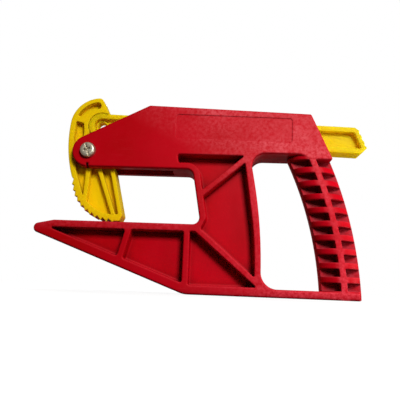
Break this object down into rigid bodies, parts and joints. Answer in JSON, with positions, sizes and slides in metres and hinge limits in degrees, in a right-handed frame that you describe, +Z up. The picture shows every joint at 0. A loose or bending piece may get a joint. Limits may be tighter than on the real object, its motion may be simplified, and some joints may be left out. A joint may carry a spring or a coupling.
{
  "type": "panel carrier",
  "caption": "One-handed panel carrier: moulded frame with a finned grip and an open throat, and a sprung toothed cam that a push bar swings open.",
  "frame": {"origin": "on the flat base edge that the frame stands on, near its middle and in the middle plane of its thickness", "axes": "+X along the base from the jaw's tip to the grip, +Y from the screw head's side to the nut's side, +Z up"},
  "size_m": [0.2745, 0.0454, 0.166],
  "materials": {
    "frame_plastic": "satin moulded",
    "cam_plastic": "satin moulded",
    "zinc_steel": "zinc plated",
    "insert_nylon": "matt",
    "spring_steel": "drawn wire"
  },
  "bodies": {
    "frame": {"frame": "frame_plastic", "pivot_screw": "zinc_steel", "pivot_sleeve": "zinc_steel", "plain_washer": "zinc_steel", "lock_nut": "zinc_steel", "lock_nut_insert": "insert_nylon", "return_spring": "spring_steel"},
    "cam": {"cam_jaw": "cam_plastic"},
    "bar": {"release_bar": "cam_plastic"}
  },
  "joints": [
    {"name": "cam_pivot", "type": "hinge", "parent": "frame", "child": "cam", "pos_m": [-0.1556, 0, 0.1158], "axis": [0, -1, 0], "range_deg": [0, 48], "stiffness_Nm_per_rad": 0.15, "springref_deg": -40.11, "deforming": ["return_spring"]},
    {"name": "bar_knuckle", "type": "hinge", "parent": "cam", "child": "bar", "pos_m": [-0.1484, 0, 0.1411], "axis": [0, -1, 0], "range_deg": [-48, 0]}
  ],
  "couplings": [
    {"joint": "bar_knuckle", "follows": "cam_pivot", "ratio": -0.987}
  ]
}
